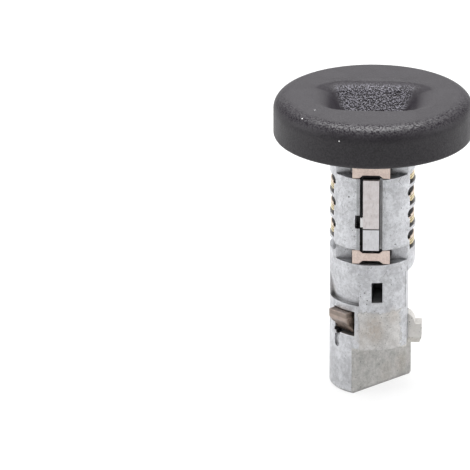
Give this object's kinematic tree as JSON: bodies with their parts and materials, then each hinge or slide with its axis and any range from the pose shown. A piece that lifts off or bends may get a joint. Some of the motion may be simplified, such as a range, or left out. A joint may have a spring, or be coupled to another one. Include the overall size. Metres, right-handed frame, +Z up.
{
  "type": "ignition lock cylinder",
  "caption": "Side bar ignition lock cylinder: a grooved die-cast barrel with windows, retainer clips, a side latch and a flattened tang, under a big round knob with a key recess.",
  "frame": {"origin": "centre of the tang's end face, on the lock axis", "axes": "+Z up the lock axis towards the knob, -Y out through the side bar, +X to the right of the side bar"},
  "size_m": [0.045, 0.045, 0.0697],
  "materials": {
    "zinc_casting": "as cast, lightly polished",
    "knob_plastic": "fine moulded texture",
    "nickel_clip": "dull nickel",
    "bar_end_alloy": "bluish grey",
    "brass_tumbler": "stamped, edges bright",
    "dark_steel": "dark brown, oiled",
    "spring_steel": "drawn wire and sheet"
  },
  "bodies": {
    "barrel": {"lock_body": "zinc_casting", "knob": "knob_plastic", "upper_bar_retainer": "nickel_clip", "lower_bar_retainer": "nickel_clip", "shutter_pin": "spring_steel", "upper_bar_spring": "spring_steel", "lower_bar_spring": "spring_steel", "tumbler_spring_1": "spring_steel", "tumbler_spring_2": "spring_steel", "tumbler_spring_3": "spring_steel", "tumbler_spring_4": "spring_steel", "tumbler_spring_5": "spring_steel", "tumbler_spring_6": "spring_steel", "tumbler_spring_7": "spring_steel", "latch_spring": "spring_steel", "shutter_spring": "spring_steel"},
    "side_bar": {"side_bar": "nickel_clip", "side_bar_end": "bar_end_alloy"},
    "tumbler_1": {"tumbler_1": "brass_tumbler"},
    "tumbler_2": {"tumbler_2": "brass_tumbler"},
    "tumbler_3": {"tumbler_3": "brass_tumbler"},
    "tumbler_4": {"tumbler_4": "brass_tumbler"},
    "tumbler_5": {"tumbler_5": "brass_tumbler"},
    "tumbler_6": {"tumbler_6": "brass_tumbler"},
    "tumbler_7": {"tumbler_7": "brass_tumbler"},
    "latch": {"latch": "dark_steel"},
    "shutter": {"shutter": "spring_steel"}
  },
  "joints": [
    {"name": "side_bar_slide", "type": "slide", "parent": "barrel", "child": "side_bar", "axis": [0, 1, 0], "range_m": [0, 0.001], "stiffness_N_per_m": 400, "springref_m": -0.002, "deforming": ["upper_bar_spring", "lower_bar_spring"]},
    {"name": "tumbler_1_slide", "type": "slide", "parent": "barrel", "child": "tumbler_1", "axis": [-1, 0, 0], "range_m": [0, 0.0003], "stiffness_N_per_m": 120, "springref_m": -0.001, "deforming": ["tumbler_spring_1"]},
    {"name": "tumbler_2_slide", "type": "slide", "parent": "barrel", "child": "tumbler_2", "axis": [1, 0, 0], "range_m": [0, 0.0009], "stiffness_N_per_m": 120, "springref_m": -0.001, "deforming": ["tumbler_spring_2"]},
    {"name": "tumbler_3_slide", "type": "slide", "parent": "barrel", "child": "tumbler_3", "axis": [-1, 0, 0], "range_m": [0, 0.0006], "stiffness_N_per_m": 120, "springref_m": -0.001, "deforming": ["tumbler_spring_3"]},
    {"name": "tumbler_4_slide", "type": "slide", "parent": "barrel", "child": "tumbler_4", "axis": [1, 0, 0], "range_m": [0, 0.0003], "stiffness_N_per_m": 120, "springref_m": -0.001, "deforming": ["tumbler_spring_4"]},
    {"name": "tumbler_5_slide", "type": "slide", "parent": "barrel", "child": "tumbler_5", "axis": [-1, 0, 0], "range_m": [0, 0.0009], "stiffness_N_per_m": 120, "springref_m": -0.001, "deforming": ["tumbler_spring_5"]},
    {"name": "tumbler_6_slide", "type": "slide", "parent": "barrel", "child": "tumbler_6", "axis": [1, 0, 0], "range_m": [0, 0.0006], "stiffness_N_per_m": 120, "springref_m": -0.001, "deforming": ["tumbler_spring_6"]},
    {"name": "tumbler_7_slide", "type": "slide", "parent": "barrel", "child": "tumbler_7", "axis": [-1, 0, 0], "range_m": [0, 0.0003], "stiffness_N_per_m": 120, "springref_m": -0.001, "deforming": ["tumbler_spring_7"]},
    {"name": "latch_slide", "type": "slide", "parent": "barrel", "child": "latch", "axis": [0.6691, 0.7431, 0], "range_m": [0, 0.0016], "stiffness_N_per_m": 300, "springref_m": -0.003, "deforming": ["latch_spring"]},
    {"name": "shutter_hinge", "type": "hinge", "parent": "barrel", "child": "shutter", "pos_m": [0, 0.00205, 0.0615], "axis": [1, 0, 0], "range_deg": [0, 90], "stiffness_Nm_per_rad": 0.0002, "springref_deg": -17.19, "deforming": ["shutter_spring"]}
  ],
  "couplings": [
    {"joint": "tumbler_1_slide", "follows": "side_bar_slide", "ratio": 0.3},
    {"joint": "tumbler_2_slide", "follows": "side_bar_slide", "ratio": 0.9},
    {"joint": "tumbler_3_slide", "follows": "side_bar_slide", "ratio": 0.6},
    {"joint": "tumbler_4_slide", "follows": "side_bar_slide", "ratio": 0.3},
    {"joint": "tumbler_5_slide", "follows": "side_bar_slide", "ratio": 0.9},
    {"joint": "tumbler_6_slide", "follows": "side_bar_slide", "ratio": 0.6},
    {"joint": "tumbler_7_slide", "follows": "side_bar_slide", "ratio": 0.3}
  ]
}
